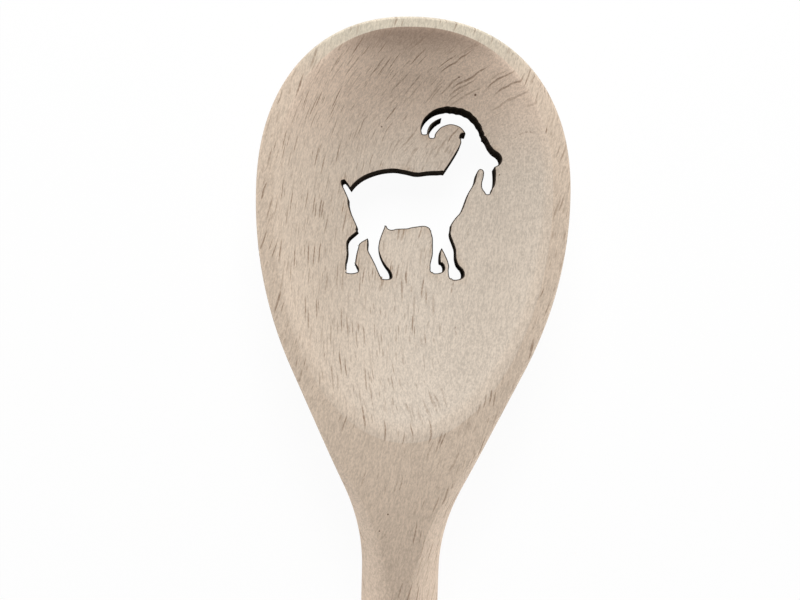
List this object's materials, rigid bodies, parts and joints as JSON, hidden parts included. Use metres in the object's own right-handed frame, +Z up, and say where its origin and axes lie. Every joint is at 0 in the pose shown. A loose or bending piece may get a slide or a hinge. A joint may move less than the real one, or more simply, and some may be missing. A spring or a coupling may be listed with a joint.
{
  "type": "cooking spoon",
  "caption": "Wooden cooking spoon with an egg-shaped hollowed bowl, a flat rim and neck, a round handle, and the figure of a goat cut right through the bowl.",
  "frame": {"origin": "under the middle of the spoon's box, on the surface that the back of the bowl lies on", "axes": "+Y along the spoon towards the tip of the bowl, +Z up out of the hollow, +X to the right with the tip pointing away"},
  "size_m": [0.06, 0.3, 0.016],
  "materials": {
    "beech": "bare sanded beech, unoiled, with fine flecks along the grain"
  },
  "bodies": {
    "root": {"spoon": "beech"}
  },
  "joints": []
}
